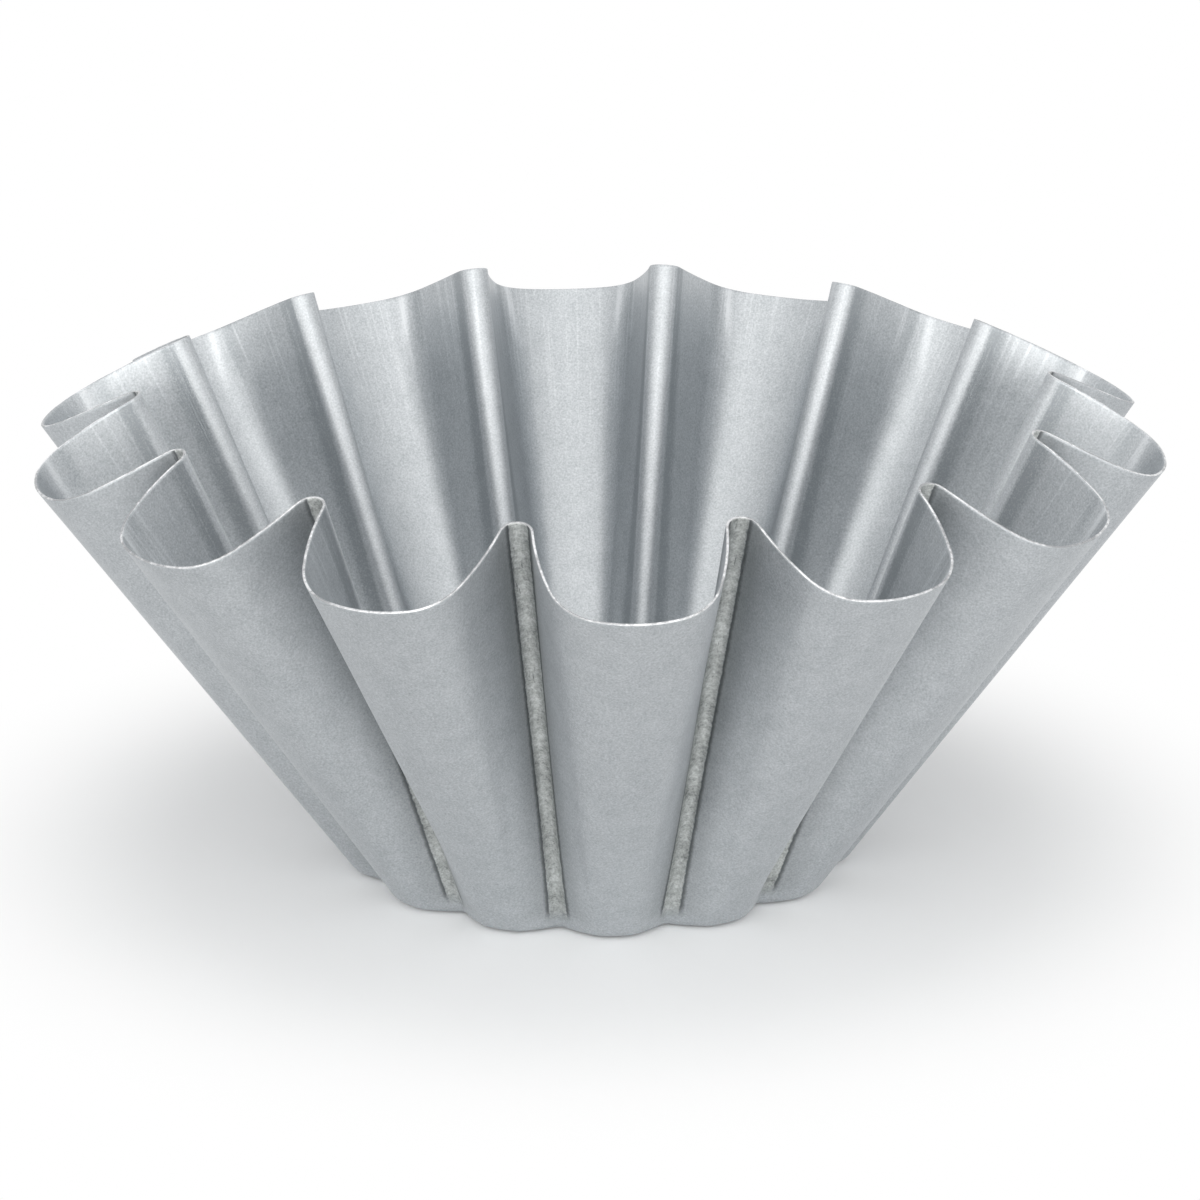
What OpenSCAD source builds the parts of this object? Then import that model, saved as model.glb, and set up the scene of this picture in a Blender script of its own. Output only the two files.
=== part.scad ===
// Fluted brioche mould, pressed from one round blank of thin coated steel.
// The wall runs straight from base to rim all round: each point of the small scalloped
// base outline is joined to its own point of the wide rim outline by a straight line.
// Both outlines repeat one half flute and its mirror image: a wide crown, a tighter
// shoulder, a gently bent flank and a round fold that points inward like a narrow U.
// Radii, heights and bends are those of the middle of the sheet's thickness.

/* [Flutes] */
// Number of flutes round the wall
flute_count = 14; // [12:1:16]

/* [Rim] */
// Radius of the rim at the crown of each flute
rim_crown_r = 110; // [102:0.1:130]
// Radius of the rim at each fold
rim_fold_r = 88.2; // [82:0.1:94]
// Height of the rim at the crown of each flute
rim_crown_height = 84; // [60:0.1:110]
// Height of the rim at each fold
rim_fold_height = 95.5; // [70:0.1:120]
// How the rim falls from fold to crown: 1 is evenly with the radius, more starts gently
rim_fall_power = 1.1; // [0.8:0.05:2]
// Bend radius of a crown at the rim
rim_crown_bend = 27.8; // [18:0.1:40]
// Angle from the middle of a crown at the rim to where its shoulder begins
rim_crown_turn = 16.5; // [5:0.5:22]
// Bend radius of a shoulder at the rim
rim_shoulder_bend = 11; // [7:0.1:12.5]
// Angle from the middle of a crown at the rim to where its flank begins
rim_shoulder_turn = 71.5; // [60:0.5:80]
// Bend radius of a fold at the rim
rim_fold_bend = 2.9; // [1:0.1:3.5]

/* [Base] */
// Radius of the base at the crown of each flute
base_crown_r = 49.5; // [49:0.1:58]
// Radius of the base at each fold
base_fold_r = 45.3; // [42:0.1:47]
// Bend radius of a crown at the base
base_crown_bend = 20; // [16:0.5:45]
// Angle from the middle of a crown at the base to where its shoulder begins
base_crown_turn = 7; // [2:0.5:9]
// Bend radius of a shoulder at the base
base_shoulder_bend = 4.2; // [3:0.1:5]
// Angle from the middle of a crown at the base to where its flank begins
base_shoulder_turn = 32; // [25:0.5:50]
// Bend radius of a fold at the base
base_fold_bend = 2; // [0.6:0.1:3]
// How far the rounded corner under the wall reaches along the floor and up the wall
base_corner = 2; // [1.5:0.1:5]

/* [Sheet] */
// Thickness of the sheet
sheet = 0.5; // [0.3:0.1:1]

/* [Hidden] */

steel_colour = [0.67, 0.69, 0.7];
flute_angle = 360 / flute_count;
// The first flute's crown faces the front, along -Y
front_angle = -90;

// Steps round half a flute
crown_steps = 2;
shoulder_steps = 4;
flank_steps = 3;
fold_steps = 4;
// Steps up the rounded corner and up the wall
corner_steps = 2;
wall_steps = 3;

function direction(angle) = [cos(angle), sin(angle)];
function unit(v) = v / norm(v);
function mix(a, b, t) = a + (b - a) * t;
function level(p) = [p[0], p[1], 0];
function turned(p, angle) = p[0] * direction(angle) + p[1] * direction(angle + 90);

// Points of an arc without its first one
function arc(centre, radius, from, to, steps) =
    [for (i = [1 : steps]) centre + radius * direction(mix(from, to, i / steps))];

// Half a flute about +X, from the middle of its crown to the middle of the next fold
function half_flute(crown_r, fold_r, crown_bend, crown_turn, shoulder_bend, shoulder_turn,
        fold_bend) =
    let (
        fold_side = flute_angle / 2,
        crown_centre = [crown_r - crown_bend, 0],
        shoulder_centre = crown_centre + (crown_bend - shoulder_bend) * direction(crown_turn),
        fold_centre = (fold_r + fold_bend) * direction(fold_side),
        // The flank carries on from the shoulder in the one bend that ends smooth on the fold
        outward = direction(shoulder_turn),
        flank_start = shoulder_centre + shoulder_bend * outward,
        gap = flank_start - fold_centre,
        flank_bend = (gap * gap - fold_bend * fold_bend) / (2 * (fold_bend + gap * outward)),
        flank_centre = flank_start - flank_bend * outward,
        facing = (fold_centre - flank_centre) / (flank_bend + fold_bend),
        flank_turn = atan2(facing[1], facing[0])
    )
    concat(
        [[crown_r, 0]],
        arc(crown_centre, crown_bend, 0, crown_turn, crown_steps),
        arc(shoulder_centre, shoulder_bend, crown_turn, shoulder_turn, shoulder_steps),
        arc(flank_centre, flank_bend, shoulder_turn, flank_turn, flank_steps),
        arc(fold_centre, fold_bend, flank_turn + 180, fold_side + 180, fold_steps)
    );

// The closed outline, counterclockwise: each flute is the half's mirror image, then the half
function outline(half) =
    let (last = len(half) - 1)
    [
        for (flute = [0 : flute_count - 1])
            for (i = [1 - last : last])
                let (
                    p = half[abs(i)],
                    side = i < 0 ? -1 : 1
                )
                    turned([p[0], side * p[1]], front_angle + flute * flute_angle)
    ];

// Height of the rim over a point of its outline
function rim_height(p) =
    let (out = max(0, norm(p) - rim_fold_r) / (rim_crown_r - rim_fold_r))
    mix(rim_fold_height, rim_crown_height, pow(out, rim_fall_power));

base_outline = outline(half_flute(base_crown_r, base_fold_r, base_crown_bend, base_crown_turn,
    base_shoulder_bend, base_shoulder_turn, base_fold_bend));
rim_outline = outline(half_flute(rim_crown_r, rim_fold_r, rim_crown_bend, rim_crown_turn,
    rim_shoulder_bend, rim_shoulder_turn, rim_fold_bend));
around = [0 : len(base_outline) - 1];

// The foot is where wall and floor would meet if the corner under the wall were sharp
foot = [for (p = base_outline) [p[0], p[1], sheet / 2]];
rim = [for (p = rim_outline) [p[0], p[1], rim_height(p)]];
floor_edge = [for (p = foot) p - base_corner * unit(level(p))];
wall_start = [for (i = around) foot[i] + base_corner * unit(rim[i] - foot[i])];

// Rings of [point, direction up the sheet], from the edge of the floor to the rim
corner_rings = [
    for (step = [0 : corner_steps])
        let (t = step / corner_steps)
            [
                for (i = around)
                    let (
                        low = mix(floor_edge[i], foot[i], t),
                        high = mix(foot[i], wall_start[i], t)
                    )
                        [mix(low, high, t), high - low]
            ]
];
wall_rings = [
    for (step = [1 : wall_steps])
        [for (i = around) [mix(wall_start[i], rim[i], step / wall_steps), rim[i] - foot[i]]]
];
rings = concat(corner_rings, wall_rings);

// A ring's points moved square to the sheet by a distance, outward where it is positive
function moved(ring, distance) = [
    for (i = around)
        let (
            next = ring[(i + 1) % len(ring)][0],
            previous = ring[(i + len(ring) - 1) % len(ring)][0],
            outward = unit(cross(next - previous, ring[i][1]))
        )
            ring[i][0] + distance * outward
];

// The outside from floor to rim, then the inside from rim to floor
skin = concat(
    [for (ring = rings) moved(ring, sheet / 2)],
    [for (k = [len(rings) - 1 : -1 : 0]) moved(rings[k], -sheet / 2)]
);

module mould_shell() {
    ring_size = len(base_outline);
    last_ring = (len(skin) - 1) * ring_size;
    underside_middle = last_ring + ring_size;
    floor_middle = underside_middle + 1;
    points = concat([for (ring = skin) each ring], [[0, 0, 0], [0, 0, sheet]]);
    wall_faces = [
        for (k = [0 : len(skin) - 2])
            for (i = around)
                let (
                    j = (i + 1) % ring_size,
                    low = k * ring_size,
                    high = low + ring_size
                )
                    each [[low + i, high + i, high + j], [low + i, high + j, low + j]]
    ];
    underside_faces = [for (i = around) [underside_middle, i, (i + 1) % ring_size]];
    floor_faces = [for (i = around) [floor_middle, last_ring + (i + 1) % ring_size, last_ring + i]];
    color(steel_colour)
        polyhedron(points = points, faces = concat(wall_faces, underside_faces, floor_faces));
}

mould_shell();
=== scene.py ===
import math

import bpy
from mathutils import Matrix, Vector


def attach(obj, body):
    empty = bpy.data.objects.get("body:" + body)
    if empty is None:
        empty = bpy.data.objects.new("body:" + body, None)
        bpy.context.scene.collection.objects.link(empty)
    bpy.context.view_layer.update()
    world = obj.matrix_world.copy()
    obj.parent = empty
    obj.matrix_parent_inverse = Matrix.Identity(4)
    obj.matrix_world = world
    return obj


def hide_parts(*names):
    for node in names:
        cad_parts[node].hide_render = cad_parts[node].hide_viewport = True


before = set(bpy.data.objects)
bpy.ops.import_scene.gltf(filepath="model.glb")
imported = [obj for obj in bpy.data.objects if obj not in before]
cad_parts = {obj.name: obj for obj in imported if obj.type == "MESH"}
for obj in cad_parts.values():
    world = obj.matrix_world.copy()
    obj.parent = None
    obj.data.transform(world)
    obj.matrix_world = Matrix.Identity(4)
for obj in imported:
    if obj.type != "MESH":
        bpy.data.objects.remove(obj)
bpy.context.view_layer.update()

# ---------------------------------------------------------------------------------------
# The camera: a long lens almost a metre off, looking down on the mould from a little to
# the left of the flute that faces the front.
camera_away = 0.9514
camera_height = 0.3763
camera_place = math.radians(-3.748)
camera_heading = math.radians(-3.779)
camera_tilt = math.radians(-18.870)
camera_roll = math.radians(-0.156)
lens_length, film_width = 153.87, 36
nearest_seen, furthest_seen = 0.05, 50

camera = bpy.data.objects.new("camera", bpy.data.cameras.new("camera"))
camera.data.lens = lens_length
camera.data.sensor_width = film_width
camera.data.clip_start = nearest_seen
camera.data.clip_end = furthest_seen
camera.matrix_world = (
    Matrix.Translation((
        camera_away * math.sin(camera_place),
        -camera_away * math.cos(camera_place),
        camera_height,
    ))
    @ Matrix.Rotation(camera_heading, 4, "Z")
    @ Matrix.Rotation(math.pi / 2 + camera_tilt, 4, "X")
    @ Matrix.Rotation(camera_roll, 4, "Z")
)
bpy.context.scene.collection.objects.link(camera)
bpy.context.scene.camera = camera
bpy.context.scene.view_settings.view_transform = "Standard"


# ---------------------------------------------------------------------------------------
# The floor: a plain white sheet of paper under soft boxes. It keeps the mould's shadow
# and fades into the white of the room a little way off.
class Wire:
    """A socket that gives a value in a tree of nodes. Its sums are nodes of that tree."""

    def __init__(self, tree, socket=None):
        self.tree = tree
        self.socket = socket

    def node(self, kind, settings=None, sockets=None, output=0):
        """A new node: its settings first, then the values or wires of its sockets."""
        made = self.tree.nodes.new(kind)
        for name, value in (settings or {}).items():
            setattr(made, name, value)
        for key, value in (sockets or {}).items():
            socket = Wire.pick(made.inputs, key)
            if isinstance(value, Wire):
                self.tree.links.new(value.socket, socket)
            else:
                socket.default_value = value
        if not made.outputs:
            return made
        return Wire(self.tree, Wire.pick(made.outputs, output))

    @staticmethod
    def pick(sockets, key):
        """A socket by its number, or the one in use by that name."""
        if isinstance(key, int):
            return sockets[key]
        return next(s for s in sockets if s.name == key and s.enabled)

    def other(self, output):
        """Another output of the node that this one comes from."""
        return Wire(self.tree, Wire.pick(self.socket.node.outputs, output))

    def calc(self, operation, *values):
        """A sum on numbers."""
        operands = (self, *values)
        return self.node("ShaderNodeMath", {"operation": operation}, dict(enumerate(operands)))

    def join(self, operation, first, second):
        """Both as numbers, unless one is a vector: a number then scales it."""
        vectors = [
            isinstance(v, tuple) or (isinstance(v, Wire) and v.socket.type == "VECTOR")
            for v in (first, second)]
        if not any(vectors):
            return self.node("ShaderNodeMath", {"operation": operation}, {0: first, 1: second})
        if all(vectors):
            return self.node(
                "ShaderNodeVectorMath", {"operation": operation}, {0: first, 1: second})
        if vectors[1]:
            first, second = second, first
        return self.node("ShaderNodeVectorMath", {"operation": "SCALE"}, {0: first, 3: second})

    def __add__(self, value):
        return self.join("ADD", self, value)

    def __radd__(self, value):
        return self.join("ADD", value, self)

    def __sub__(self, value):
        return self.join("SUBTRACT", self, value)

    def __rsub__(self, value):
        return self.join("SUBTRACT", value, self)

    def __mul__(self, value):
        return self.join("MULTIPLY", self, value)

    def __rmul__(self, value):
        return self.join("MULTIPLY", value, self)

    def __truediv__(self, value):
        return self.calc("DIVIDE", value)

    def __rtruediv__(self, value):
        return self.join("DIVIDE", value, self)

    def length(self):
        """How long a vector is."""
        return self.node("ShaderNodeVectorMath", {"operation": "LENGTH"}, {0: self}, "Value")

    def unit(self):
        """The vector's direction, one long."""
        return self.node("ShaderNodeVectorMath", {"operation": "NORMALIZE"}, {0: self})

    def held(self):
        """The value kept between 0 and 1."""
        return self.node("ShaderNodeClamp", None, {"Value": self})

    def rise(self, low, high):
        """0 up to low, 1 from high on, and a soft step between them."""
        return self.node(
            "ShaderNodeMapRange", {"interpolation_type": "SMOOTHSTEP"},
            {"Value": self, "From Min": low, "From Max": high})

    def fall(self, low, high):
        """1 up to low, 0 from high on, and a soft step between them."""
        return 1 - self.rise(low, high)

    def tint(self, first, second):
        """A colour that goes from first to second as the value goes from 0 to 1."""
        return self.node(
            "ShaderNodeMix", {"data_type": "RGBA"},
            {"Factor": self, "A": first, "B": second}, "Result")


def looked_at(tree_start):
    """1 where a ray comes from the camera, straight or by way of metal or glass, or 0."""
    rays = tree_start.node("ShaderNodeLightPath", output="Is Camera Ray")
    return rays.calc("MAXIMUM", rays.other("Is Glossy Ray")).calc(
        "MAXIMUM", rays.other("Is Transmission Ray"))


floor_reach = 6.0
floor_gap = 0.0002
shadow_fades, shadow_gone = 0.08, 0.15
paper_colour = (0.86, 0.865, 0.87, 1)
white = (1, 1, 1, 1)

paper = bpy.data.materials.new("white_paper")
paper.use_nodes = True
paper.node_tree.nodes.clear()
fibres = Wire(paper.node_tree)
away = fibres.node("ShaderNodeTexCoord", output="Object").length()
matt = fibres.node("ShaderNodeBsdfDiffuse", None, {"Color": paper_colour})
glow = fibres.node("ShaderNodeEmission", None, {"Color": white, "Strength": 1.0})
surface = fibres.node(
    "ShaderNodeMixShader", None,
    {0: away.rise(shadow_fades, shadow_gone) * looked_at(fibres), 1: matt, 2: glow})
fibres.node("ShaderNodeOutputMaterial", None, {"Surface": surface})

floor_mesh = bpy.data.meshes.new("floor")
floor_mesh.from_pydata(
    [(x * floor_reach, y * floor_reach, -floor_gap)
     for x, y in ((-1, -1), (1, -1), (1, 1), (-1, 1))],
    [], [(0, 1, 2, 3)])
floor_mesh.materials.append(paper)
floor = bpy.data.objects.new("floor", floor_mesh)
bpy.context.scene.collection.objects.link(floor)

# Soft boxes, a little warm, turned to the mould: where each stands, its width and height,
# and its power in watts
box_colour = (1, 0.98, 0.95)
soft_boxes = {
    "high_box": ((0, -0.2, 1.7), 1.2, 1.2, 3.4),
    "front_box": ((0, -1.68, 0.89), 1.3, 1.2, 5.2),
    "left_box": ((-1.12, -1.25, 0.89), 1.3, 1.2, 4),
    "right_box": ((1.12, -1.25, 0.89), 1.3, 1.2, 2.4),
    "floor_box": ((-0.08, -1.6, 0.25), 3.0, 0.5, 15.5),
}
for name, (stand, width, height, power) in soft_boxes.items():
    box = bpy.data.objects.new(name, bpy.data.lights.new(name, "AREA"))
    box.data.shape = "RECTANGLE"
    box.data.size = width
    box.data.size_y = height
    box.data.energy = power
    box.data.color = box_colour
    box.location = stand
    box.rotation_euler = (-Vector(stand)).to_track_quat("-Z", "Y").to_euler()
    bpy.context.scene.collection.objects.link(box)

# The room lights the mould a little less than the full white that it shows
room_light = 0.87
room = bpy.data.worlds.new("white_room")
room.use_nodes = True
room.node_tree.nodes.clear()
air = Wire(room.node_tree)
strength = room_light + (1 - room_light) * looked_at(air)
light = air.node("ShaderNodeBackground", None, {"Color": white, "Strength": strength})
air.node("ShaderNodeOutputWorld", None, {"Surface": light})
bpy.context.scene.world = room


# ---------------------------------------------------------------------------------------
# The mould: one round blank of thin steel with a dull metallic coating, pressed in a
# single stroke into a flat floor and a flared wall of deep flutes. The rim is the bare
# cut edge. It rests on its floor.
mould_sizes = {
    "Flutes": 14,
    "Rim crown radius": 0.1099,
    "Rim fold radius": 0.0882,
    "Rim crown height": 0.084,
    "Rim fold height": 0.0955,
    "Rim fall power": 1.1,
    "Rim crown bend": 0.0278,
    "Rim crown turn": math.radians(16.5),
    "Rim shoulder bend": 0.011,
    "Rim shoulder turn": math.radians(71.5),
    "Rim fold bend": 0.0029,
    "Base crown radius": 0.0495,
    "Base fold radius": 0.0453,
    "Base crown bend": 0.02,
    "Base crown turn": math.radians(7),
    "Base shoulder bend": 0.0042,
    "Base shoulder turn": math.radians(32),
    "Base fold bend": 0.002,
    "Base corner": 0.002,
    "Sheet": 0.0005,
    "Cut edge roundness": 0.0001,
    "Unevenness": 0.00015,
}
dents_per_metre = 28.0
weld_within = 5e-6
crown_steps, shoulder_steps, flank_steps, fold_steps = 5, 8, 5, 8
floor_rows, corner_rows, wall_rows, land_rows, edge_rows = 3, 5, 30, 1, 4
front_angle = -math.pi / 2
half_steps = crown_steps + shoulder_steps + flank_steps + fold_steps
side_rows = floor_rows + corner_rows + wall_rows + land_rows
skin_rows = 2 * side_rows + edge_rows

pressing = bpy.data.node_groups.new("pressing", "GeometryNodeTree")
pressing.interface.new_socket("Geometry", in_out="INPUT", socket_type="NodeSocketGeometry")
for name, value in mould_sizes.items():
    kind = "NodeSocketInt" if isinstance(value, int) else "NodeSocketFloat"
    pressing.interface.new_socket(name, in_out="INPUT", socket_type=kind)
pressing.interface.new_socket("Geometry", in_out="OUTPUT", socket_type="NodeSocketGeometry")
sheet = Wire(pressing)
taken = sheet.node("NodeGroupInput")
size = {name: taken.other(name) for name in mould_sizes}
flutes = size["Flutes"]

# Where a point lies round the wall: steps from the middle of its crown, and to which side
columns = flutes * (2 * half_steps)
index = sheet.node("GeometryNodeInputIndex")
column = index.calc("MODULO", columns)
row = (index / columns).calc("FLOOR")
flute = (column / (2 * half_steps)).calc("FLOOR")
along = column - flute * (2 * half_steps) - half_steps
steps = along.calc("ABSOLUTE")
side = along.calc("SIGN")
on_crown = (steps / crown_steps).held()
on_shoulder = ((steps - crown_steps) / shoulder_steps).held()
on_flank = ((steps - crown_steps - shoulder_steps) / flank_steps).held()
on_fold = ((steps - (half_steps - fold_steps)) / fold_steps).held()
half_angle = math.pi / flutes
turn = flute * (2 * half_angle) + front_angle


def outline(level):
    """The outline's point at this column, its way from the fold, and half a flute's way."""
    crown_r, fold_r = size[level + " crown radius"], size[level + " fold radius"]
    crown_bend, crown_turn = size[level + " crown bend"], size[level + " crown turn"]
    shoulder_bend, shoulder_turn = size[level + " shoulder bend"], size[level + " shoulder turn"]
    fold_bend = size[level + " fold bend"]
    reach = crown_bend - shoulder_bend
    shoulder_x = crown_r - crown_bend + reach * crown_turn.calc("COSINE")
    shoulder_y = reach * crown_turn.calc("SINE")
    fold_x = (fold_r + fold_bend) * half_angle.calc("COSINE")
    fold_y = (fold_r + fold_bend) * half_angle.calc("SINE")
    # The flank carries on from the shoulder in the one bend that ends smooth on the fold
    out_x, out_y = shoulder_turn.calc("COSINE"), shoulder_turn.calc("SINE")
    gap_x = shoulder_x + shoulder_bend * out_x - fold_x
    gap_y = shoulder_y + shoulder_bend * out_y - fold_y
    flank_bend = ((gap_x * gap_x + gap_y * gap_y - fold_bend * fold_bend)
                  / ((fold_bend + gap_x * out_x + gap_y * out_y) * 2))
    flank_x = shoulder_x + (shoulder_bend - flank_bend) * out_x
    flank_y = shoulder_y + (shoulder_bend - flank_bend) * out_y
    bends = flank_bend + fold_bend
    facing = ((fold_y - flank_y) / bends).calc("ARCTAN2", (fold_x - flank_x) / bends)
    crown_angle = crown_turn * on_crown
    shoulder_angle = crown_turn + (shoulder_turn - crown_turn) * on_shoulder
    flank_angle = shoulder_turn + (facing - shoulder_turn) * on_flank
    fold_angle = facing + (half_angle - facing) * on_fold

    def swept(start, wave):
        """Start, then what each bend adds along one axis."""
        return (
            start
            + crown_bend * crown_angle.calc(wave)
            + shoulder_bend * (shoulder_angle.calc(wave) - crown_turn.calc(wave))
            + flank_bend * (flank_angle.calc(wave) - shoulder_turn.calc(wave))
            - fold_bend * (fold_angle.calc(wave) - facing.calc(wave))
        )

    x = swept(crown_r - crown_bend, "COSINE")
    y = swept(0, "SINE") * side
    point = sheet.node("ShaderNodeCombineXYZ", None, {
        "X": x * turn.calc("COSINE") - y * turn.calc("SINE"),
        "Y": x * turn.calc("SINE") + y * turn.calc("COSINE"),
    })
    crown, shoulder = crown_bend * crown_turn, shoulder_bend * (shoulder_turn - crown_turn)
    flank, fold = flank_bend * (facing - shoulder_turn), fold_bend * (facing - half_angle)
    whole = crown + shoulder + flank + fold
    way = (whole - crown * on_crown - shoulder * on_shoulder - flank * on_flank
           - fold * on_fold)
    return point, way, whole


# The foot is where wall and floor would meet in a sharp corner, and the wall runs
# straight from it to the rim. The land is the last of the wall, next to the cut edge
foot, foot_way, foot_whole = outline("Base")
rim_outline, rim_way, rim_whole = outline("Rim")
out = ((rim_outline.length() - size["Rim fold radius"])
       / (size["Rim crown radius"] - size["Rim fold radius"])).calc("MAXIMUM", 0)
rim_height = (size["Rim fold height"] + out.calc("POWER", size["Rim fall power"])
              * (size["Rim crown height"] - size["Rim fold height"]))
lift = sheet.node("ShaderNodeCombineXYZ", None, {"Z": size["Sheet"] / 2})
rim = rim_outline + sheet.node(
    "ShaderNodeCombineXYZ", None, {"Z": rim_height - size["Sheet"] / 2})
upward = (rim - foot).unit()
rim = rim - upward * size["Cut edge roundness"]
land = upward * size["Sheet"]
floor_edge = foot - foot.unit() * size["Base corner"]
wall_start = foot + upward * size["Base corner"]


def up_wall(level_row):
    """0 from the floor's middle to the corner, and up to 1 where the wall meets the land."""
    return ((level_row - floor_rows - corner_rows) / wall_rows).held()


def pressed_point(level_row):
    """The middle of the sheet's thickness, so many rows out from the floor's middle."""
    on_floor = (level_row / floor_rows).held()
    on_corner = ((level_row - floor_rows) / corner_rows).held()
    on_land = ((level_row - (side_rows - land_rows)) / land_rows).held()
    return (
        floor_edge * on_floor
        + (foot - floor_edge) * (on_corner * 2)
        + (wall_start - foot * 2 + floor_edge) * (on_corner * on_corner)
        + (rim - land - wall_start) * up_wall(level_row)
        + land * on_land
        + lift
    )


def tube(rows):
    """Rings of points that are still to be placed, so its radius and depth don't matter."""
    return sheet.node(
        "GeometryNodeMeshCylinder", {"fill_type": "NONE"},
        {"Vertices": columns, "Side Segments": rows, "Radius": 0.05, "Depth": 0.1}, "Mesh")


def moved(geometry, sockets):
    return sheet.node("GeometryNodeSetPosition", None, {"Geometry": geometry, **sockets})


# The middle of the sheet, a little uneven where the steel sprang back from the press
normal = sheet.node("GeometryNodeInputNormal")
here = sheet.node("GeometryNodeInputPosition")
springing = sheet.node(
    "ShaderNodeTexNoise", {"noise_dimensions": "3D"},
    {"Vector": here, "Scale": dents_per_metre, "Detail": 1.0}, "Fac")
middle = moved(tube(side_rows), {"Position": pressed_point(row)})
middle = moved(middle, {"Offset": normal * (springing * size["Unevenness"] * up_wall(row))})

# The skin: out along the floor and up the inside, over the cut edge and back underneath
skin_row = row.calc("MINIMUM", side_rows).calc("MINIMUM", skin_rows - row)
over = ((row - side_rows) / edge_rows).held()
over_angle = over * math.pi
skin_index = skin_row * columns + column
spot, facing_in = (
    sheet.node(
        "GeometryNodeSampleIndex", {"data_type": "FLOAT_VECTOR", "domain": "POINT"},
        {"Geometry": middle, "Value": value, "Index": skin_index}, "Value")
    for value in (here, normal)
)
skin = moved(tube(skin_rows), {
    "Position": spot
    + facing_in * (over_angle.calc("COSINE") * size["Sheet"] / 2)
    + upward * (over_angle.calc("SINE") * size["Cut edge roundness"]),
})

# What the finish follows: how far up the wall, how far along the sheet from a fold, how far
# over the cut edge, and a place round the wall by which streaks run up it
skin_up = up_wall(skin_row)
way = foot_way + (rim_way - foot_way) * skin_up
whole = foot_whole + (rim_whole - foot_whole) * skin_up
round_wall = turn + side * half_angle * (1 - way / whole)
lengthwise = sheet.node("ShaderNodeCombineXYZ", None, {
    "X": round_wall.calc("COSINE"), "Y": round_wall.calc("SINE"), "Z": skin_up})
for name, kind, value in (
        ("up", "FLOAT", skin_up),
        ("from_fold", "FLOAT", way),
        ("over_edge", "FLOAT", over),
        ("lengthwise", "FLOAT_VECTOR", lengthwise)):
    skin = sheet.node(
        "GeometryNodeStoreNamedAttribute", {"data_type": kind, "domain": "POINT"},
        {"Geometry": skin, "Name": name, "Value": value})
skin = sheet.node(
    "GeometryNodeMergeByDistance", None, {"Geometry": skin, "Distance": weld_within})
skin = sheet.node("GeometryNodeSetShadeSmooth", None, {"Geometry": skin})

# The coating: a dull grey with a fine grain and soft clouds, more matt outside. The press
# has drawn it into streaks below the rim inside, and rubbed it rough and faintly greenish
# down the outside of the folds. The cut edge is bare bright steel
# Light is painted into it too: the outside a little lighter, painted shade beside the folds
# outside and the ribs inside, and painted highlights on the ribs and on a ridge below the rim
coat_dark, coat_light = (0.34, 0.364, 0.382, 1), (0.652, 0.676, 0.696, 1)
rubbed_dark, rubbed_light = (0.26, 0.272, 0.268, 1), (0.7, 0.725, 0.715, 1)
bare_dark, bare_light = (0.4, 0.41, 0.42, 1), (0.88, 0.89, 0.9, 1)
# The dark of the scuffs, and of the painted shade beside the folds outside
soot_and_painted_shade = (0.07, 0.078, 0.08, 1)

# How far across, in metres, the specks of each pattern are
grain_across, speck_across, cloud_across = 0.00036, 0.000936, 0.005
ragged_across, ragged_by = 0.0011, 0.0006
burrs_across, fine_burrs_across = 0.008, 0.0009
burrs_share, fine_burrs_share = 0.65, 0.35

# From where up the wall a mark starts to show, and where it shows in full
wall_from = (0.0, 0.04)
streaks_from = (0.5, 1.0)
lines_from = (0.6, 0.95)
pinch_from = (0.84, 0.98)
scuffs_from = (0.3, 0.8)

# How far over the cut edge the outside begins, and the bare steel begins and ends
outside_begins = (0.45, 0.55)
bare_begins, bare_ends = (0.02, 0.2), (0.8, 0.98)

# Where marks begin or end along the sheet from the middle of a fold, in metres
rubbed_ends = (0.00176, 0.00216)
dark_line_ends = (0.0022, 0.0032)
halo_ends = (0.002, 0.009)
scuffs_end = (0.002, 0.004)
rib_ends = (0.0024, 0.004)
# Where the painted shade in the hollow beside each rib begins and ends
hollow_begins, hollow_ends = (0.0028, 0.0038), (0.005, 0.0075)
lines_begin, lines_end = (0.0028, 0.0034), (0.0052, 0.0062)
pinch_place, pinch_width = 0.0222, 0.0015
pinch_shade_place, pinch_shade_width = 0.0186, 0.0024

# Marks drawn out up the wall: how fine they are round it, how short up it, and their
# detail. Then how strong a pattern has to be to start to show, and to show in full
streak_marks, streaks_show = (190, 2.0, 2.0), (0.52, 0.72)
scuff_marks, scuffs_show = (420, 26, 3.0), (0.66, 0.72)
line_marks, lines_show = (1500, 4, 1.0), (0.5, 0.62)
burrs_show = (0.4, 0.64)

# The shade of the coating, from 0 for dark to 1 for light, and what a mark adds or takes
# The outside is painted a little lighter, standing in for light on its flanks
plain_shade, outside_painted_lighter = 0.46, 0.06
grain_adds, speck_adds, cloud_adds, streaks_add = 1.4, 0.15, 0.3, 0.22
# Painted highlights on the ridge below the rim and down each rib
pinch_painted_highlight, rib_painted_highlight = 0.5, 0.14
# Painted shade beside the ridge and in the hollows by the ribs, and how dark the fine lines are
lines_take, pinch_shade_takes, hollow_painted_shade = 0.16, 0.3, 0.42
rubbed_plain, rubbed_grain_adds, rubbed_speck_adds, rubbed_cloud_adds = 0.5, 1.3, 0.9, 0.8
# How dark the painted shade of the line and halo beside each fold is, and how dark the scuffs
# are
dark_line_painted_shade, halo_painted_shade, scuffs_soot = 0.6, 0.2, 0.75

# How rough the surface is, and how deep its marks go
coat_roughness, outside_rougher, rib_rougher, grain_rougher = 0.45, 0.15, 0.11, 0.25
streaks_smoother, bare_smoother = 0.06, 0.25
relief_strength, relief_depth = 0.3, 0.00003
grain_relief, pinch_relief, lines_relief = 0.6, 7, 2

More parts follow.
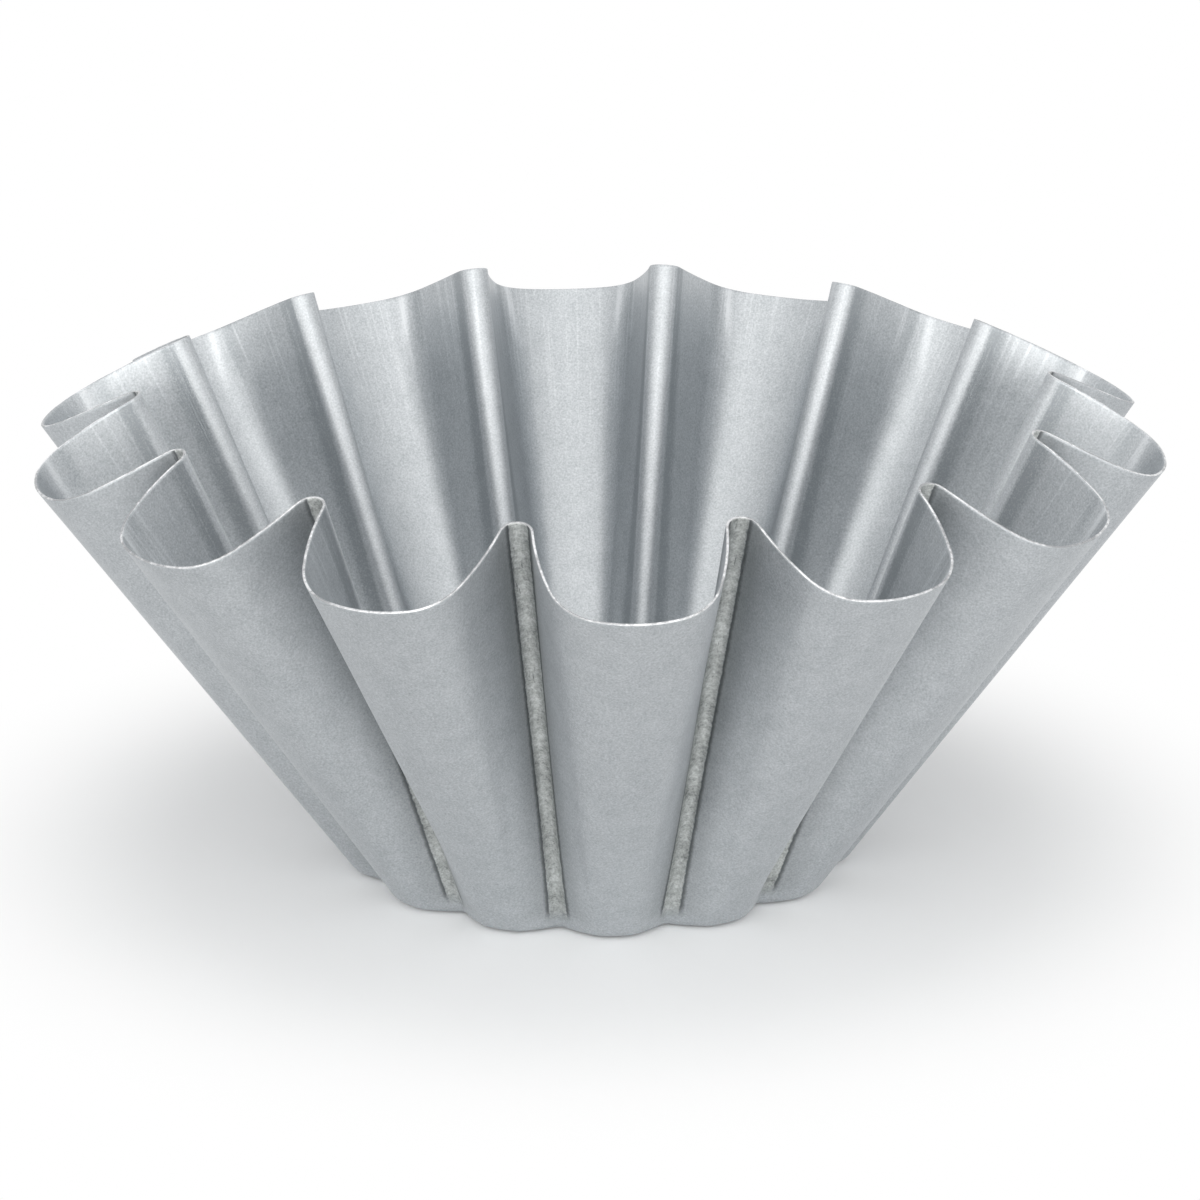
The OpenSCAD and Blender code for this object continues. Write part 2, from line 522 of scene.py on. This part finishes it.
coated_steel = bpy.data.materials.new("grey_coating")
coated_steel.use_nodes = True
coated_steel.node_tree.nodes.clear()
coat = Wire(coated_steel.node_tree)
place = coat.node("ShaderNodeTexCoord", output="Object")


def noise(size_across, detail=2.0, at=place):
    """Soft specks about so many metres across, from 0 to 1."""
    return coat.node(
        "ShaderNodeTexNoise", {"noise_dimensions": "3D"},
        {"Vector": at, "Scale": 1 / size_across, "Detail": detail}, "Fac")


def mark(name, output="Fac"):
    """What the pressing has stored at each point under that name."""
    return coat.node("ShaderNodeAttribute", {"attribute_name": name}, None, output)


up, from_fold, over_edge = mark("up"), mark("from_fold"), mark("over_edge")
lengthwise = mark("lengthwise", "Vector")


def drawn_marks(fineness, ups, detail):
    """Marks drawn out up the wall: how fine they are round it, and how short up it."""
    return noise(1, detail, lengthwise * (fineness, fineness, ups))


def ridge(middle, half_width):
    """1 along a line up the wall, so far from the fold, and 0 to either side of it."""
    return (from_fold - middle).calc("ABSOLUTE").fall(0.0, half_width)


wall = up.rise(*wall_from)
outside = over_edge.rise(*outside_begins)
inside = 1 - outside
cut_edge = over_edge.rise(*bare_begins) * over_edge.fall(*bare_ends)
grain = noise(grain_across)
speck = noise(speck_across, 1.0)
cloud = noise(cloud_across)
streaks = inside * up.rise(*streaks_from) * drawn_marks(*streak_marks).rise(*streaks_show)

# Outside each fold: the rubbed strip with a ragged edge, a dark line and a faint halo of painted
# shade beside it, and some scuffs across them near the rim
ragged = from_fold + (noise(ragged_across) - 0.5) * ragged_by
rubbed = wall * outside * ragged.fall(*rubbed_ends)
beside = wall * outside * (1 - rubbed) * (
    ragged.fall(*dark_line_ends) * dark_line_painted_shade + from_fold.fall(*halo_ends) * halo_painted_shade)
scuffs = (wall * outside * from_fold.fall(*scuffs_end) * up.rise(*scuffs_from)
          * drawn_marks(*scuff_marks).rise(*scuffs_show))

# Inside, where the wall was drawn tight: a thin ridge on each shoulder with a painted highlight
# on it and painted shade beside it, a painted highlight down each rib, painted shade in the
# hollow on either side of it, and fine lines in that
pinch = inside * up.rise(*pinch_from) * ridge(pinch_place, pinch_width)
pinch_shade = inside * up.rise(*pinch_from) * ridge(pinch_shade_place, pinch_shade_width)
rib = inside * wall * from_fold.fall(*rib_ends)
hollow = inside * wall * from_fold.rise(*hollow_begins) * from_fold.fall(*hollow_ends)
lines = (inside * up.rise(*lines_from) * from_fold.rise(*lines_begin)
         * from_fold.fall(*lines_end) * drawn_marks(*line_marks).rise(*lines_show))

# Painted light: the outside is a little lighter
shade = (plain_shade + outside * outside_painted_lighter + (grain - 0.5) * grain_adds
         + (speck - 0.5) * speck_adds + (cloud - 0.5) * cloud_adds
         + streaks * streaks_add).held()
# Painted highlights on the ridge and ribs, and painted shade beside them
marked_shade = (shade - lines * lines_take + pinch * pinch_painted_highlight
                - pinch_shade * pinch_shade_takes + rib * rib_painted_highlight
                - hollow * hollow_painted_shade).held()
rubbed_shade = (rubbed_plain + (grain - 0.5) * rubbed_grain_adds
                + (speck - 0.5) * rubbed_speck_adds + (cloud - 0.5) * rubbed_cloud_adds).held()
burrs = (noise(burrs_across) * burrs_share
         + noise(fine_burrs_across) * fine_burrs_share).rise(*burrs_show)
colour = marked_shade.tint(coat_dark, coat_light)
# Painted shade beside each fold outside
colour = beside.tint(colour, soot_and_painted_shade)
colour = rubbed.tint(colour, rubbed_shade.tint(rubbed_dark, rubbed_light))
colour = (scuffs * scuffs_soot).tint(colour, soot_and_painted_shade)
colour = cut_edge.tint(colour, burrs.tint(bare_dark, bare_light))
roughness = (coat_roughness + outside * outside_rougher + rib * rib_rougher
             + (grain - 0.5) * grain_rougher - streaks * streaks_smoother
             - cut_edge * bare_smoother)
relief = (grain * grain_relief + rubbed * speck + pinch * pinch_relief
          - lines * lines_relief)
bump = coat.node("ShaderNodeBump", None, {
    "Strength": relief_strength, "Distance": relief_depth, "Height": relief}, "Normal")
steel = coat.node("ShaderNodeBsdfPrincipled", None, {
    "Base Color": colour, "Metallic": 1.0, "Roughness": roughness, "Normal": bump})
coat.node("ShaderNodeOutputMaterial", None, {"Surface": steel})

skin = sheet.node("GeometryNodeRealizeInstances", None, {"Geometry": skin})
skin = sheet.node(
    "GeometryNodeSetMaterial", None, {"Geometry": skin, "Material": coated_steel})
sheet.node("NodeGroupOutput", None, {"Geometry": skin})

mould = bpy.data.objects.new("fluted_mould", bpy.data.meshes.new("blank"))
bpy.context.scene.collection.objects.link(mould)
stroke = mould.modifiers.new("pressing", "NODES")
stroke.node_group = pressing
for item in pressing.interface.items_tree:
    if item.name in mould_sizes:
        stroke[item.identifier] = mould_sizes[item.name]
finished = mould.evaluated_get(bpy.context.evaluated_depsgraph_get())
mould.data = bpy.data.meshes.new_from_object(finished)
# The first material slot is the empty one of the blank
mould.data.materials.pop(index=0)
mould.modifiers.clear()
mould.data.name = "fluted_mould"
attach(mould, "root")
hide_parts("mould_shell")
